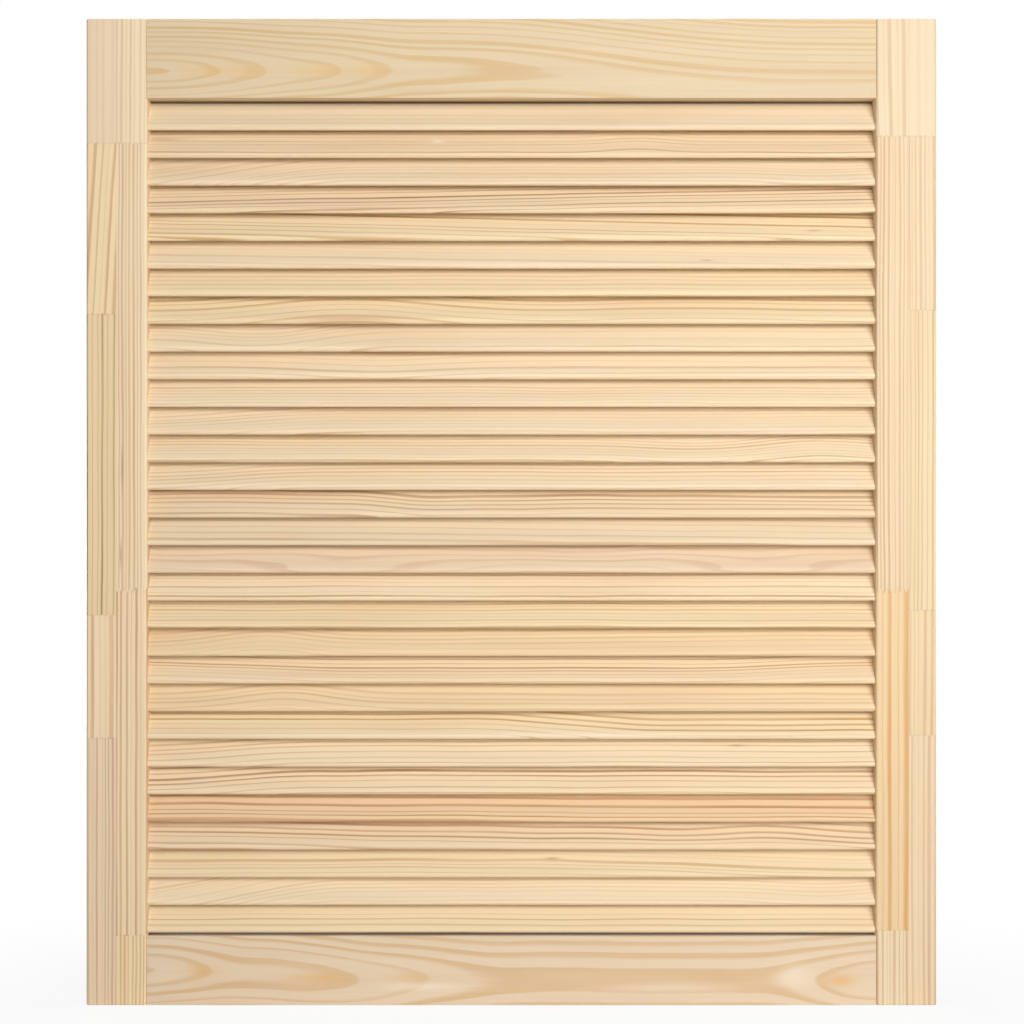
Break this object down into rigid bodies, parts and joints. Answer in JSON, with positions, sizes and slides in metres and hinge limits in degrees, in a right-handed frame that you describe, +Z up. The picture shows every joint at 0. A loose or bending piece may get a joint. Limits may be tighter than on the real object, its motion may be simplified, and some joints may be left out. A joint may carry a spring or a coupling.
{
  "type": "louvred cabinet door leaf",
  "caption": "Pine louvred cabinet door leaf: two stiles and two rails frame fixed sloping slats that let air through and hide what is behind.",
  "frame": {"origin": "middle of the left stile's outer edge, where the leaf is hung, half way through its thickness", "axes": "+Z up along the stiles, +X across the leaf away from the hung edge, front of the leaf towards -Y"},
  "size_m": [0.595, 0.021, 0.69],
  "materials": {
    "stile_pine": "sanded, unfinished",
    "rail_pine": "sanded, unfinished",
    "slat_pine": "sanded, unfinished"
  },
  "bodies": {
    "root": {"left_stile": "stile_pine", "right_stile": "stile_pine", "top_rail": "rail_pine", "bottom_rail": "rail_pine", "slat_01": "slat_pine", "slat_02": "slat_pine", "slat_03": "slat_pine", "slat_04": "slat_pine", "slat_05": "slat_pine", "slat_06": "slat_pine", "slat_07": "slat_pine", "slat_08": "slat_pine", "slat_09": "slat_pine", "slat_10": "slat_pine", "slat_11": "slat_pine", "slat_12": "slat_pine", "slat_13": "slat_pine", "slat_14": "slat_pine", "slat_15": "slat_pine", "slat_16": "slat_pine", "slat_17": "slat_pine", "slat_18": "slat_pine", "slat_19": "slat_pine", "slat_20": "slat_pine", "slat_21": "slat_pine", "slat_22": "slat_pine", "slat_23": "slat_pine", "slat_24": "slat_pine", "slat_25": "slat_pine", "slat_26": "slat_pine", "slat_27": "slat_pine", "slat_28": "slat_pine", "slat_29": "slat_pine", "slat_30": "slat_pine"}
  },
  "joints": []
}
